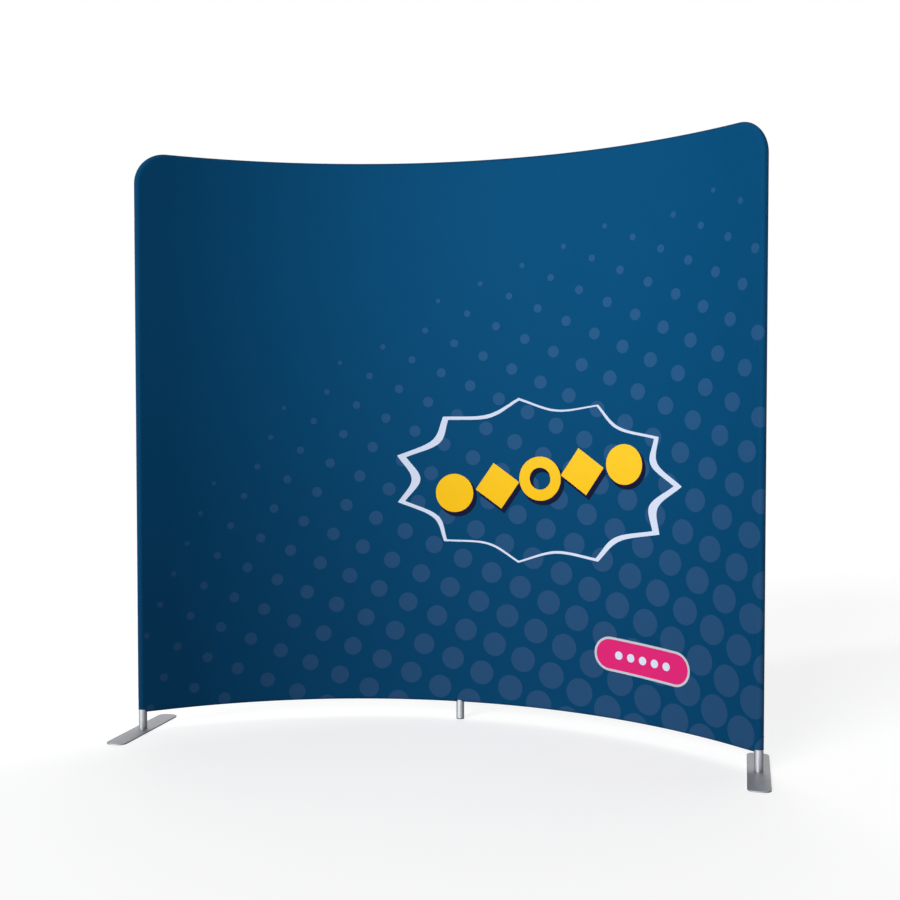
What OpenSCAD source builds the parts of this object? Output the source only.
// Curved display wall: a knock-down aluminium tube frame inside a tensioned fabric cover.
// It stands on two flat foot plates and a short centre leg. Units are millimetres and +Z is up.
// The origin is on the floor, under the middle of the whole wall. The hollow of the curve is the
// front and faces -Y. Angles along the curve are counted from its middle, positive towards +X.

/* [Wall] */
// Width of the covered wall across its outer edges
wall_w = 2400; // [2000:10:2800]
// Height of the covered wall above the floor
wall_h = 2275; // [1900:5:2500]
// Radius of the curve that both rails follow, at the middle of the tube
curve_r = 1712; // [1600:1:2600]
// Radius of the bends in the two top corners, at the middle of the tube
corner_r = 108; // [104:1:160]
// Straight length of tube between the end of the curve and each corner bend
corner_flat = 3; // [1:0.5:10]
// Height of the cover's lower edge above the floor
ground_gap = 70; // [65:1:110]

/* [Tube] */
// Outer diameter of every frame tube
tube_d = 32; // [30:0.5:38]
// Wall of every frame tube
tube_wall = 1.5; // [1.2:0.1:2]
// Length of the straight lower end of each corner tube
corner_leg = 120; // [100:1:200]
// Length along the curve of each corner tube's rail end
corner_tail = 90; // [85:1:160]
// Half of the length of the tee pieces at the middle of both rails
tee_half = 100; // [90:1:160]
// Gap between a square tube end and the tube that it butts against
butt_gap = 0.5; // [0.3:0.1:1]

/* [Plug-in joints] */
// Radial clearance between a ferrule or spigot and the tube around it
ferrule_gap = 0.1; // [0.05:0.01:0.2]
// Wall of the ferrules and spigots
ferrule_wall = 2; // [1.5:0.1:2.5]
// Length of a ferrule, half of it in each tube
ferrule_l = 120; // [110:1:150]
// Length of the spigots that are welded to the uprights and tees
spigot_l = 70; // [60:1:75]
// Length of the spigot that carries the centre leg
leg_spigot_l = 42; // [30:1:44]
// Distance of a snap button or rivet from the joint line of its ferrule
button_in = 30; // [25:1:40]
// Distance of a spigot's snap button from the tube that the spigot stands on
spigot_button_in = 42; // [38:1:45]

/* [Snap buttons] */
// Diameter of a snap button
button_d = 8; // [6:0.5:9]
// Height of a button above the tube at rest
button_proud = 3.2; // [2:0.1:4]
// Radial clearance around a button in its holes
button_gap = 0.25; // [0.2:0.05:0.4]
// Diameter of the flange that keeps the button in
flange_d = 11; // [10.5:0.1:12]
// Thickness of that flange
flange_t = 1.2; // [0.8:0.1:1.6]
// Thickness of the leaf spring's strip
spring_t = 0.8; // [0.6:0.1:1]
// Width of the leaf spring's strip
spring_w = 8; // [6:0.5:9]
// Length of the leaf spring behind the button
spring_back = 26; // [22:1:30]

/* [Rivets] */
// Diameter of a rivet's shank
rivet_d = 4; // [3:0.1:5]
// Diameter of a rivet's head
rivet_head_d = 8; // [7:0.1:9]
// Height of a rivet's head
rivet_head_h = 1.2; // [0.8:0.1:1.6]

/* [Feet] */
// Length of a foot plate, from front to back
plate_l = 460; // [350:5:600]
// Width of a foot plate
plate_w = 80; // [60:1:120]
// Thickness of a foot plate
plate_t = 5; // [4:0.5:8]
// Radius of a foot plate's corners
plate_corner_r = 30; // [10:1:30]
// Length of the post that plugs into an upright
foot_post_l = 110; // [90:1:150]
// Diameter of the countersunk screw in a foot plate
screw_d = 8; // [6:0.5:10]
// Diameter of the screw's head
screw_head_d = 15; // [14:0.5:18]
// Length of the screw
screw_l = 30; // [20:1:50]
// Height of the centre leg's end cap below the tube
cap_h = 4; // [3:0.5:8]
// Length of the end cap's plug inside the tube
cap_plug_l = 16; // [10:1:18]

/* [Cover] */
// Thickness of the fabric
cover_t = 0.6; // [0.5:0.1:1.2]
// Gap between the fabric and the tubes
cover_gap = 0.4; // [0.3:0.05:0.6]
// Radial clearance of the holes for the legs
leg_hole_gap = 0.6; // [0.4:0.05:0.8]

/* [Zip] */
// Height of the zip above the middle of the bottom rail
zip_up = 40; // [35:1:80]
// Length along the curve that is left without a zip at each side
zip_margin = 60; // [40:1:200]
// Height of the slot in the fabric under the zip
zip_slot = 13; // [12:0.5:16]
// Width of each zip tape
tape_w = 12; // [10:0.5:15]
// Thickness of the zip tapes
tape_t = 0.6; // [0.4:0.1:0.8]
// Gap between the fabric and the tapes, and between the tapes and what is on them
tape_gap = 0.3; // [0.2:0.05:0.4]
// Width of each row of zip teeth
row_w = 2.2; // [2:0.1:2.6]
// Height of the rows of zip teeth
row_h = 1.8; // [1.5:0.1:2.2]
// Gap between the two rows, for the neck of the slider
row_gap = 1.4; // [1.2:0.1:1.6]
// Length of the slider
slider_l = 11; // [9:0.5:14]
// Height of the slider
slider_w = 9.6; // [9:0.1:10.5]
// Length of the pull tab
pull_l = 26; // [20:1:40]

/* [Hidden] */
$fn = 64;
section_fn = 64;
bend_fn = 180;
curve_fn = 720;
eps = 0.01;
// how far a cutting shape runs past what it cuts
over = 1;

tube_r = tube_d / 2;
tube_bore_r = tube_r - tube_wall;
weld_r = tube_r - tube_wall / 2;
ferrule_r = tube_bore_r - ferrule_gap;
ferrule_bore_r = ferrule_r - ferrule_wall;
cover_r = tube_r + cover_gap + cover_t;
cover_in_r = tube_r + cover_gap;

// plan of the wall: the rails follow one arc and run straight from its ends to the uprights
post_x = wall_w / 2 - cover_r;
end_l = corner_r + corner_flat;
arc_half = asin(post_x / norm([curve_r, end_l])) - atan(end_l / curve_r);
post_forward = curve_r * (1 - cos(arc_half)) + end_l * sin(arc_half);
tape_y = cover_r + tape_gap;
row_y = tape_y + tape_t + tape_gap / 3;
row_top = row_y + row_h;
mid_y = (post_forward + plate_l / 2 - row_top) / 2;
arc_y = mid_y - curve_r;
function arc_angle(length) = length / curve_r * 180 / PI;

// heights
rail_top_z = wall_h - cover_r;
rail_bot_z = ground_gap + cover_r;
bend_z = rail_top_z - corner_r;
corner_joint_z = bend_z - corner_leg;
upright_joint_z = (plate_t + corner_joint_z) / 2;
centre_joint_z = (rail_bot_z + rail_top_z) / 2;
zip_z = rail_bot_z + zip_up;

// angles of the joints along the rails
corner_joint_a = arc_half - arc_angle(corner_tail);
tee_a = arc_angle(tee_half);
button_a = arc_angle(button_in);
spigot_button_r = tube_r + spigot_button_in;
end_button_x = end_l - spigot_button_r;

// snap button, spring and rivet, measured from the tube's axis
stem_top = tube_r + button_proud;
flange_top = sqrt(pow(ferrule_bore_r, 2) - pow(flange_d / 2, 2)) - 0.1;
flange_bottom = flange_top - flange_t;
leaf_low = -sqrt(pow(ferrule_bore_r, 2) - pow(spring_w / 2, 2)) + 0.3;
leaf_bend_r = 2.6;
leaf_front = 6;
pad_half = 4;
rivet_gap = 0.05;
rivet_bulb_d = rivet_d + 2;
rivet_bulb_h = 1.5;
rivet_bulb_gap = 0.3;

// feet and legs
screw_gap = 0.05;
screw_head_h = 4.5;
screw_bore_l = screw_l + 3;
leg_hole_r = tube_r + leg_hole_gap;
leg_hole_top = rail_bot_z - 2 * cover_t;
cope_gap = 0.3;

// zip
zip_half_a = arc_half - arc_angle(zip_margin);
tape_end_l = 8;
tape_end_a = zip_half_a + arc_angle(tape_end_l);
stop_l = 5;
wing_gap = 0.2;
wing_t = 1.2;
slider_end_gap = 4;
slider_a = zip_half_a - arc_angle(slider_l / 2 + slider_end_gap);
slider_top = row_top + wing_gap + wing_t;
lug_t = 0.8;
lug_half = 3.2;
lug_r = 2;
slider_neck_l = 4;
slider_play = 0.3;
pull_pin_r = 0.6;
pull_eye_r = 1.4;
pull_t = 1.2;
pull_w = 7;
pull_neck_l = 5;
pull_neck_lap = 0.5;
pull_hole_r = 1.8;
pull_hole_in = 4;
pull_y = slider_top + pull_eye_r + 0.2;

// ---- places ----

// a point of the curve: X runs along the rail, Y points away from the curve's centre
module on_curve(a) {
    translate([0, arc_y, 0]) rotate([0, 0, -a]) translate([0, curve_r, 0]) children();
}

// the end of the curve at the right, and the axis of the right upright
module at_curve_end() {
    on_curve(arc_half) children();
}

module at_upright() {
    at_curve_end() translate([end_l, 0, 0]) children();
}

// sweeps a flat shape along the curve: its X is the distance from the tube's axis, its Y the height
module along_curve(a0, a1, z) {
    translate([0, arc_y, z])
        rotate([0, 0, 90 - a1])
            rotate_extrude(angle = a1 - a0, $fn = curve_fn)
                translate([curve_r, 0])
                    children();
}

// extrudes a flat shape along X: its X becomes Y and its Y becomes the height
module along_x(length) {
    rotate([90, 0, 90]) linear_extrude(length) children();
}

module on_left() {
    mirror([1, 0, 0]) children();
}

// the button and rivet places: +Z of each is the way that the button points
module rail_place(a, z, up) {
    on_curve(a) translate([0, 0, z]) rotate([up ? 0 : 180, 0, 0]) children();
}

module upright_place(z) {
    at_upright() translate([0, 0, z]) rotate([0, -90, 0]) children();
}

module centre_place(z) {
    translate([0, mid_y, z]) rotate([0, 90, 0]) children();
}

module bottom_end_place() {
    at_curve_end() translate([end_button_x, 0, rail_bot_z]) children();
}

// ---- flat shapes ----

module ring(outer, inner) {
    difference() {
        circle(outer, $fn = section_fn);
        circle(inner, $fn = section_fn);
    }
}

module tube_ring() {
    ring(tube_r, tube_bore_r);
}

module ferrule_ring() {
    ring(ferrule_r, ferrule_bore_r);
}

// part of the fabric's ring: a quarter that starts at the given angle
module cover_quarter(start) {
    intersection() {
        ring(cover_r, cover_in_r);
        rotate(start) square(cover_r + over);
    }
}

module rounded_plate_shape() {
    square([plate_w - 2 * plate_corner_r, plate_l], center = true);
    square([plate_w, plate_l - 2 * plate_corner_r], center = true);
    for (x = [-1, 1], y = [-1, 1])
        translate([x * (plate_w / 2 - plate_corner_r), y * (plate_l / 2 - plate_corner_r)])
            circle(plate_corner_r);
}

// ---- holes ----

module button_hole() {
    cylinder(r = button_d / 2 + button_gap, h = tube_r + 2 * over);
}

module rivet_hole() {
    cylinder(r = rivet_d / 2 + rivet_gap, h = tube_r + 2 * over);
}

// ---- tubes ----

module upright_tube(z0, z1) {
    at_upright() translate([0, 0, z0]) linear_extrude(z1 - z0) tube_ring();
}

module centre_tube(z0, z1) {
    translate([0, mid_y, z0]) linear_extrude(z1 - z0) tube_ring();
}

// a spigot that is welded into a vertical tube's wall and points to -X
module side_spigot() {
    difference() {
        rotate([0, -90, 0]) linear_extrude(tube_r + spigot_l) ferrule_ring();
        translate([0, 0, -tube_d]) cylinder(r = weld_r, h = 2 * tube_d);
    }
}

// a spigot that is welded into a rail's wall at its middle and points up or down
module rail_spigot(length, z, up) {
    difference() {
        translate([0, mid_y, z])
            rotate([up ? 0 : 180, 0, 0])
                linear_extrude(tube_r + length) ferrule_ring();
        along_curve(-tee_a, tee_a, z) circle(weld_r, $fn = section_fn);
    }
}

module upright_lower() {
    difference() {
        union() {
            upright_tube(plate_t, upright_joint_z);
            at_upright() translate([0, 0, rail_bot_z]) side_spigot();
        }
        upright_place(upright_joint_z - button_in) rivet_hole();
        bottom_end_place() button_hole();
    }
}

module upright_upper() {
    difference() {
        upright_tube(upright_joint_z, corner_joint_z);
        upright_place(upright_joint_z + button_in) button_hole();
        upright_place(corner_joint_z - button_in) rivet_hole();
    }
}

module corner_tube() {
    difference() {
        union() {
            upright_tube(corner_joint_z, bend_z);
            at_curve_end() {
                translate([corner_flat, 0, bend_z])
                    rotate([90, 0, 0])
                        rotate_extrude(angle = 90, $fn = bend_fn)
                            translate([corner_r, 0]) tube_ring();
                translate([0, 0, rail_top_z]) along_x(corner_flat) tube_ring();
            }
            along_curve(corner_joint_a, arc_half, rail_top_z) tube_ring();
        }
        upright_place(corner_joint_z + button_in) button_hole();
        rail_place(corner_joint_a + button_a, rail_top_z, false) rivet_hole();
    }
}

module top_rail() {
    difference() {
        along_curve(tee_a, corner_joint_a, rail_top_z) tube_ring();
        rail_place(corner_joint_a - button_a, rail_top_z, false) button_hole();
        rail_place(tee_a + button_a, rail_top_z, false) button_hole();
    }
}

module top_tee() {
    color("silver")
        difference() {
            union() {
                along_curve(-tee_a, tee_a, rail_top_z) tube_ring();
                rail_spigot(spigot_l, rail_top_z, false);
            }
            for (side = [-1, 1])
                rail_place(side * (tee_a - button_a), rail_top_z, false) rivet_hole();
            centre_place(rail_top_z - spigot_button_r) button_hole();
        }
}

// the straight end is turned half round its axis, so that its seam is not in line with the arc's
module bottom_rail() {
    difference() {
        union() {
            along_curve(tee_a, arc_half, rail_bot_z) tube_ring();
            at_curve_end()
                translate([0, 0, rail_bot_z]) along_x(end_l - tube_r - butt_gap) rotate(180) tube_ring();
        }
        bottom_end_place() button_hole();
        rail_place(tee_a + button_a, rail_bot_z, true) button_hole();
    }
}

module bottom_tee() {
    color("silver")
        difference() {
            union() {
                along_curve(-tee_a, tee_a, rail_bot_z) tube_ring();
                rail_spigot(spigot_l, rail_bot_z, true);
                rail_spigot(leg_spigot_l, rail_bot_z, false);
            }
            for (side = [-1, 1])
                rail_place(side * (tee_a - button_a), rail_bot_z, true) rivet_hole();
            centre_place(rail_bot_z + spigot_button_r) button_hole();
        }
}

module centre_post_lower() {
    color("silver")
        difference() {
            centre_tube(rail_bot_z + tube_r + butt_gap, centre_joint_z);
            centre_place(rail_bot_z + spigot_button_r) button_hole();
            centre_place(centre_joint_z - button_in) rivet_hole();
        }
}

module centre_post_upper() {
    color("silver")
        difference() {
            centre_tube(centre_joint_z, rail_top_z - tube_r - butt_gap);
            centre_place(rail_top_z - spigot_button_r) button_hole();
            centre_place(centre_joint_z + button_in) button_hole();
        }
}

// the leg's upper end is coped to the round of the bottom rail
module centre_leg() {
    color("silver")
        difference() {
            centre_tube(cap_h, rail_bot_z - tube_r / 2);
            along_curve(-tee_a, tee_a, rail_bot_z) circle(tube_r + cope_gap, $fn = section_fn);
        }
}

module centre_leg_cap() {
    color("dimgray")
        translate([0, mid_y, 0]) {
            cylinder(r = tube_r, h = cap_h);
            cylinder(r = ferrule_r, h = cap_h + cap_plug_l);
        }
}

module left_upright_lower() { color("silver") on_left() upright_lower(); }
module right_upright_lower() { color("silver") upright_lower(); }
module left_upright_upper() { color("silver") on_left() upright_upper(); }
module right_upright_upper() { color("silver") upright_upper(); }
module left_corner_tube() { color("silver") on_left() corner_tube(); }
module right_corner_tube() { color("silver") corner_tube(); }
module top_rail_left() { color("silver") on_left() top_rail(); }
module top_rail_right() { color("silver") top_rail(); }
module bottom_rail_left() { color("silver") on_left() bottom_rail(); }
module bottom_rail_right() { color("silver") bottom_rail(); }

// ---- ferrules ----

module upright_ferrule(z) {
    difference() {
        at_upright() translate([0, 0, z - ferrule_l / 2]) linear_extrude(ferrule_l) ferrule_ring();
        upright_place(z + button_in) button_hole();
        upright_place(z - button_in) rivet_hole();
    }
}

// a ferrule in a rail: the button is on the side that button_side names, 1 or -1
module rail_ferrule(a, z, up, button_side) {
    difference() {
        along_curve(a - arc_angle(ferrule_l / 2), a + arc_angle(ferrule_l / 2), z) ferrule_ring();
        rail_place(a + button_side * button_a, z, up) button_hole();
        rail_place(a - button_side * button_a, z, up) rivet_hole();
    }
}

module upright_ferrules() {
    color("gainsboro") {
        for (z = [upright_joint_z, corner_joint_z]) {
            upright_ferrule(z);
            on_left() upright_ferrule(z);
        }
    }
}

module top_rail_ferrules() {
    color("gainsboro") {
        rail_ferrule(corner_joint_a, rail_top_z, false, -1);
        rail_ferrule(tee_a, rail_top_z, false, 1);
        on_left() rail_ferrule(corner_joint_a, rail_top_z, false, -1);
        on_left() rail_ferrule(tee_a, rail_top_z, false, 1);
    }
}

module bottom_rail_ferrules() {
    color("gainsboro") {
        rail_ferrule(tee_a, rail_bot_z, true, 1);
        on_left() rail_ferrule(tee_a, rail_bot_z, true, 1);
    }
}

module centre_post_ferrule() {
    color("gainsboro")
        difference() {
            translate([0, mid_y, centre_joint_z - ferrule_l / 2])
                linear_extrude(ferrule_l) ferrule_ring();
            centre_place(centre_joint_z + button_in) button_hole();
            centre_place(centre_joint_z - button_in) rivet_hole();
        }
}

// ---- rivets, springs and buttons ----

module rivet() {
    translate([0, 0, tube_r]) cylinder(r = rivet_head_d / 2, h = rivet_head_h);
    translate([0, 0, ferrule_bore_r - rivet_bulb_h])
        cylinder(r = rivet_d / 2, h = tube_r - ferrule_bore_r + rivet_bulb_h);
    translate([0, 0, ferrule_bore_r - 2 * rivet_bulb_h - rivet_bulb_gap])
        cylinder(r = rivet_bulb_d / 2, h = rivet_bulb_h);
}

module right_rivets() {
    upright_place(upright_joint_z - button_in) rivet();
    upright_place(corner_joint_z - button_in) rivet();
    rail_place(corner_joint_a + button_a, rail_top_z, false) rivet();
    rail_place(tee_a - button_a, rail_top_z, false) rivet();
    rail_place(tee_a - button_a, rail_bot_z, true) rivet();
}

module rivets() {
    color("darkgray") {
        right_rivets();
        on_left() right_rivets();
        centre_place(centre_joint_z - button_in) rivet();
    }
}

// V-shaped leaf spring: the long leaf lies on the ferrule's far wall, the short one lifts the button
module spring_shape() {
    bend_x = -spring_back;
    bend_top = leaf_low + spring_t + 2 * leaf_bend_r;
    pad_z = flange_bottom - spring_t / 2;
    slope_run = spring_back - pad_half;
    slope_rise = pad_z - bend_top + spring_t / 2;
    translate([bend_x, leaf_low]) square([spring_back + leaf_front, spring_t]);
    translate([bend_x, leaf_low + spring_t / 2 + leaf_bend_r])
        intersection() {
            ring(leaf_bend_r + spring_t / 2, leaf_bend_r - spring_t / 2);
            translate([-2 * leaf_bend_r, -2 * leaf_bend_r]) square([2 * leaf_bend_r, 4 * leaf_bend_r]);
        }
    translate([bend_x, bend_top - spring_t / 2]) {
        circle(spring_t / 2);
        rotate(atan2(slope_rise, slope_run))
            translate([0, -spring_t / 2]) square([norm([slope_run, slope_rise]), spring_t]);
    }
    translate([-pad_half, pad_z]) circle(spring_t / 2);
    translate([-pad_half, pad_z - spring_t / 2]) square([2 * pad_half, spring_t]);
}

// the strip runs back from the button along -X, or along +X when turned
module leaf_spring(turned) {
    rotate([90, 0, turned ? 180 : 0])
        translate([0, 0, -spring_w / 2])
            linear_extrude(spring_w) spring_shape();
}

module right_springs() {
    upright_place(upright_joint_z + button_in) leaf_spring(false);
    upright_place(corner_joint_z + button_in) leaf_spring(false);
    rail_place(corner_joint_a - button_a, rail_top_z, false) leaf_spring(true);
    rail_place(tee_a + button_a, rail_top_z, false) leaf_spring(false);
    rail_place(tee_a + button_a, rail_bot_z, true) leaf_spring(false);
    bottom_end_place() leaf_spring(true);
}

module button_springs() {
    color("lightsteelblue") {
        right_springs();
        on_left() right_springs();
        centre_place(centre_joint_z + button_in) leaf_spring(true);
        centre_place(rail_top_z - spigot_button_r) leaf_spring(false);
        centre_place(rail_bot_z + spigot_button_r) leaf_spring(true);
    }
}

// round-headed button with the flange that stops it against the ferrule's wall
module snap_button() {
    color("whitesmoke")
        rotate_extrude()
            intersection() {
                union() {
                    translate([0, flange_bottom]) square([flange_d / 2, flange_t]);
                    translate([0, flange_bottom]) square([button_d / 2, stem_top - flange_bottom]);
                }
                translate([0, stem_top - button_d * 0.75]) {
                    circle(button_d * 0.75);
                    translate([0, -stem_top]) square([button_d, stem_top]);
                }
            }
}

module left_upright_button() { on_left() right_upright_button(); }
module right_upright_button() { upright_place(upright_joint_z + button_in) snap_button(); }
module left_corner_button() { on_left() right_corner_button(); }
module right_corner_button() { upright_place(corner_joint_z + button_in) snap_button(); }
module left_top_rail_button() { on_left() right_top_rail_button(); }
module right_top_rail_button() { rail_place(corner_joint_a - button_a, rail_top_z, false) snap_button(); }
module left_top_tee_button() { on_left() right_top_tee_button(); }
module right_top_tee_button() { rail_place(tee_a + button_a, rail_top_z, false) snap_button(); }
module left_bottom_rail_button() { on_left() right_bottom_rail_button(); }
module right_bottom_rail_button() { bottom_end_place() snap_button(); }
module left_bottom_tee_button() { on_left() right_bottom_tee_button(); }
module right_bottom_tee_button() { rail_place(tee_a + button_a, rail_bot_z, true) snap_button(); }
module centre_post_button() { centre_place(centre_joint_z + button_in) snap_button(); }
module centre_post_top_button() { centre_place(rail_top_z - spigot_button_r) snap_button(); }
module centre_post_foot_button() { centre_place(rail_bot_z + spigot_button_r) snap_button(); }

// ---- feet ----

// the plates stay square to the wall's chord, so they are placed without the curve's turn
module at_foot() {
    translate([post_x, mid_y - post_forward, 0]) children();
}

module foot_plate() {
    color("gray")
        at_foot()
            difference() {
                linear_extrude(plate_t) rounded_plate_shape();
                translate([0, 0, -eps])
                    cylinder(r1 = screw_head_d / 2 + screw_gap, r2 = screw_d / 2 + screw_gap,
                             h = screw_head_h + eps);
                cylinder(r = screw_d / 2 + screw_gap, h = plate_t + over);
            }
}

module foot_post() {
    color("gainsboro")
        at_foot()
            difference() {
                translate([0, 0, plate_t]) cylinder(r = ferrule_r, h = foot_post_l);
                translate([0, 0, plate_t - over]) cylinder(r = screw_d / 2 + screw_gap, h = screw_bore_l);
            }
}

module foot_screw() {
    color("darkgray")
        at_foot() {
            cylinder(r1 = screw_head_d / 2, r2 = screw_d / 2, h = screw_head_h);
            cylinder(r = screw_d / 2, h = screw_l);
        }
}

module left_foot_plate() { on_left() foot_plate(); }
module right_foot_plate() { foot_plate(); }
module left_foot_post() { on_left() foot_post(); }
module right_foot_post() { foot_post(); }
module left_foot_screw() { on_left() foot_screw(); }
module right_foot_screw() { foot_screw(); }

// ---- cover ----

// section of the front panel: it goes over half of the top rail, under the bottom rail and up the
// back to the zip
module front_section() {
    translate([-cover_r, rail_bot_z]) square([cover_t, rail_top_z - rail_bot_z]);
    translate([0, rail_top_z]) cover_quarter(90);
    translate([0, rail_bot_z]) cover_quarter(180);
    translate([0, rail_bot_z]) cover_quarter(270);
    translate([cover_in_r, rail_bot_z]) square([cover_t, zip_up]);
}

module back_section() {
    translate([0, rail_top_z]) cover_quarter(0);
    translate([cover_in_r, zip_z]) square([cover_t, rail_top_z - zip_z]);
}

// flat panel between the end of the curve and the upright, drawn in X and the height
module end_strip(z0, z1) {
    translate([0, z0]) square([end_l, z1 - z0]);
}

// the same up to the top rail, with the round corner
module end_panel(z0) {
    end_strip(z0, bend_z);
    translate([0, bend_z]) square([corner_flat, corner_r]);
    translate([corner_flat, bend_z])
        intersection() {
            circle(corner_r, $fn = bend_fn);
            square(corner_r);
        }
}

module upright_sheet(y) {
    translate([0, y + cover_t, 0]) rotate([90, 0, 0]) linear_extrude(cover_t) children();
}

// wrap over the corner bend and the short straight beside it
module cover_corner(start, top_start) {
    translate([corner_flat, 0, bend_z])
        rotate([90, 0, 0])
            rotate_extrude(angle = 90, $fn = bend_fn)
                translate([corner_r, 0]) cover_quarter(start);
    translate([0, 0, rail_top_z]) along_x(corner_flat) cover_quarter(top_start);
}

module cover_side(start, z0, z1) {
    translate([end_l, 0, z0]) linear_extrude(z1 - z0) cover_quarter(start);
}

// the lower corner is mitred: the wrap under the rail meets the wrap around the upright at 45 degrees
module mitre_cut(points) {
    translate([end_l, cover_r + over, rail_bot_z])
        rotate([90, 0, 0])
            linear_extrude(2 * (cover_r + over)) polygon(points);
}

module cover_under_end() {
    reach = 2 * cover_r;
    difference() {
        translate([0, 0, rail_bot_z])
            along_x(end_l + cover_r) {
                cover_quarter(180);
                cover_quarter(270);
            }
        mitre_cut([[0, 0], [reach, -reach], [reach, over], [0, over]]);
        translate([end_l, 0, 0]) cylinder(r = leg_hole_r, h = leg_hole_top);
    }
    difference() {
        union() {
            cover_side(270, rail_bot_z - cover_r, rail_bot_z);
            cover_side(0, rail_bot_z - cover_r, rail_bot_z);
        }
        mitre_cut([[-over, over], [-over, -reach], [reach, -reach], [0, 0], [0, over]]);
    }
}

module front_end() {
    at_curve_end() {
        upright_sheet(-cover_r) end_panel(rail_bot_z);
        upright_sheet(cover_in_r) end_strip(rail_bot_z, zip_z);
        cover_corner(0, 90);
        cover_side(270, rail_bot_z, bend_z);
        cover_side(0, rail_bot_z, zip_z);
        cover_under_end();
    }
}

module back_end() {
    at_curve_end() {
        upright_sheet(cover_in_r) end_panel(zip_z);
        cover_corner(270, 0);
        cover_side(0, zip_z, bend_z);
    }
}

module zip_slot_cut() {
    along_curve(-zip_half_a, zip_half_a, zip_z)
        translate([cover_in_r - over, -zip_slot / 2]) square([cover_t + 2 * over, zip_slot]);
}

module cover_front() {
    color([0.03, 0.26, 0.42])
        difference() {
            union() {
                along_curve(-arc_half, arc_half, 0) front_section();
                front_end();
                on_left() front_end();
            }
            translate([0, mid_y, 0]) cylinder(r = leg_hole_r, h = leg_hole_top);
            zip_slot_cut();
        }
}

module cover_back() {
    color([0.03, 0.26, 0.42])
        difference() {
            union() {
                along_curve(-arc_half, arc_half, 0) back_section();
                back_end();
                on_left() back_end();
            }
            zip_slot_cut();
        }
}

// ---- zip ----

module zip_tapes() {
    color("midnightblue")
        for (side = [-1, 1])
            along_curve(-tape_end_a, tape_end_a, zip_z)
                translate([tape_y, side * (row_gap + tape_w) / 2 - tape_w / 2])
                    square([tape_t, tape_w]);
}

module zip_teeth() {
    color("black")
        for (side = [-1, 1])
            along_curve(-zip_half_a, zip_half_a, zip_z)
                translate([row_y, side * (row_gap + row_w) / 2 - row_w / 2])
                    square([row_h, row_w]);
}

module zip_stops() {
    color("silver")
        for (side = [-1, 1])
            on_curve(side * (zip_half_a + arc_angle(stop_l / 2)))
                translate([-stop_l / 2, row_y, zip_z - row_w - row_gap / 2])
                    cube([stop_l, row_h, 2 * row_w + row_gap]);
}

module at_slider() {
    on_curve(slider_a) translate([0, 0, zip_z]) children();
}

module zip_slider() {
    flange_z = row_gap / 2 + row_w + slider_play;
    flange_y = tape_y + tape_t + wing_gap;
    inner_wing_t = tape_y - wing_gap - cover_in_r;
    neck_t = row_gap - 2 * slider_play;
    color("silver")
        at_slider() {
            translate([-slider_l / 2, row_top + wing_gap, -slider_w / 2])
                cube([slider_l, wing_t, slider_w]);
            translate([-slider_l / 2, cover_in_r, -slider_w / 2])
                cube([slider_l, inner_wing_t, slider_w]);
            translate([slider_l / 2 - slider_neck_l, cover_in_r, -neck_t / 2])
                cube([slider_neck_l, slider_top - cover_in_r, neck_t]);
            for (side = [-1, 1])
                translate([-slider_l / 2, flange_y, side * (flange_z + lug_t / 2) - lug_t / 2])
                    cube([slider_l, slider_top - flange_y, lug_t]);
            for (side = [-1, 1])
                translate([0, 0, side * (lug_half - lug_t / 2) - lug_t / 2]) {
                    translate([-lug_r, slider_top - eps, 0])
                        cube([2 * lug_r, pull_y - slider_top + eps, lug_t]);
                    translate([0, pull_y, 0]) cylinder(r = lug_r, h = lug_t);
                }
            translate([0, pull_y, -lug_half]) cylinder(r = pull_pin_r, h = 2 * lug_half);
        }
}

module zip_pull_tab() {
    eye_half = lug_half - lug_t - 0.2;
    color("silver")
        at_slider()
            translate([0, pull_y, 0])
                difference() {
                    union() {
                        translate([0, 0, -eye_half]) cylinder(r = pull_eye_r, h = 2 * eye_half);
                        translate([-pull_neck_l, -pull_t / 2, -eye_half])
                            cube([pull_neck_l, pull_t, 2 * eye_half]);
                        translate([-pull_l, -pull_t / 2, -pull_w / 2])
                            cube([pull_l - pull_neck_l + pull_neck_lap, pull_t, pull_w]);
                    }
                    translate([0, 0, -pull_w]) cylinder(r = pull_pin_r + 0.1, h = 2 * pull_w);
                    translate([pull_hole_in - pull_l, pull_t, 0])
                        rotate([90, 0, 0]) cylinder(r = pull_hole_r, h = 2 * pull_t);
                }
}

left_upright_lower();
right_upright_lower();
left_upright_upper();
right_upright_upper();
left_corner_tube();
right_corner_tube();
top_rail_left();
top_rail_right();
top_tee();
bottom_rail_left();
bottom_rail_right();
bottom_tee();
centre_post_lower();
centre_post_upper();
centre_leg();
centre_leg_cap();
upright_ferrules();
top_rail_ferrules();
bottom_rail_ferrules();
centre_post_ferrule();
rivets();
button_springs();
left_upright_button();
right_upright_button();
left_corner_button();
right_corner_button();
left_top_rail_button();
right_top_rail_button();
left_top_tee_button();
right_top_tee_button();
left_bottom_rail_button();
right_bottom_rail_button();
left_bottom_tee_button();
right_bottom_tee_button();
centre_post_button();
centre_post_top_button();
centre_post_foot_button();
left_foot_plate();
right_foot_plate();
left_foot_post();
right_foot_post();
left_foot_screw();
right_foot_screw();
cover_front();
cover_back();
zip_tapes();
zip_teeth();
zip_stops();
zip_slider();
zip_pull_tab();
